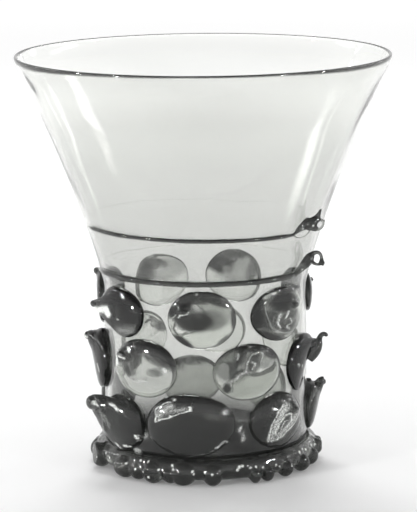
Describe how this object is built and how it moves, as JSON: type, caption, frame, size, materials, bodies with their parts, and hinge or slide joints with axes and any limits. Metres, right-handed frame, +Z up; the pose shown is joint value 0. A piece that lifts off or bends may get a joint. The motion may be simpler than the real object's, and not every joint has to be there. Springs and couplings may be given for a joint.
{
  "type": "berkemeyer glass",
  "caption": "Blown drinking glass with a flared funnel bowl on a wide hollow stem set with thorned prunts, and a pincered trail foot.",
  "frame": {"origin": "on the glass's axis, on the surface it stands on", "axes": "+Z up along the axis from the foot to the rim; -Y is the side seen from the front"},
  "size_m": [0.1322, 0.1322, 0.1458],
  "materials": {
    "vessel_glass": "fire-polished, clear",
    "thread_glass": "fire-polished",
    "prunt_glass": "fire-polished",
    "low_prunt_glass": "fire-polished, thick",
    "foot_glass": "fire-polished, thick"
  },
  "bodies": {
    "root": {"vessel": "vessel_glass", "foot_ring": "foot_glass", "pontil_mark": "thread_glass", "lower_thread": "thread_glass", "upper_thread": "thread_glass", "prunt_low_1": "low_prunt_glass", "prunt_low_2": "low_prunt_glass", "prunt_low_3": "low_prunt_glass", "prunt_low_4": "low_prunt_glass", "prunt_low_5": "low_prunt_glass", "prunt_low_6": "low_prunt_glass", "prunt_low_7": "low_prunt_glass", "prunt_mid_1": "prunt_glass", "prunt_mid_2": "prunt_glass", "prunt_mid_3": "prunt_glass", "prunt_mid_4": "prunt_glass", "prunt_mid_5": "prunt_glass", "prunt_mid_6": "prunt_glass", "prunt_mid_7": "prunt_glass", "prunt_top_1": "prunt_glass", "prunt_top_2": "prunt_glass", "prunt_top_3": "prunt_glass", "prunt_top_4": "prunt_glass", "prunt_top_5": "prunt_glass", "prunt_top_6": "prunt_glass", "prunt_top_7": "prunt_glass"}
  },
  "joints": []
}
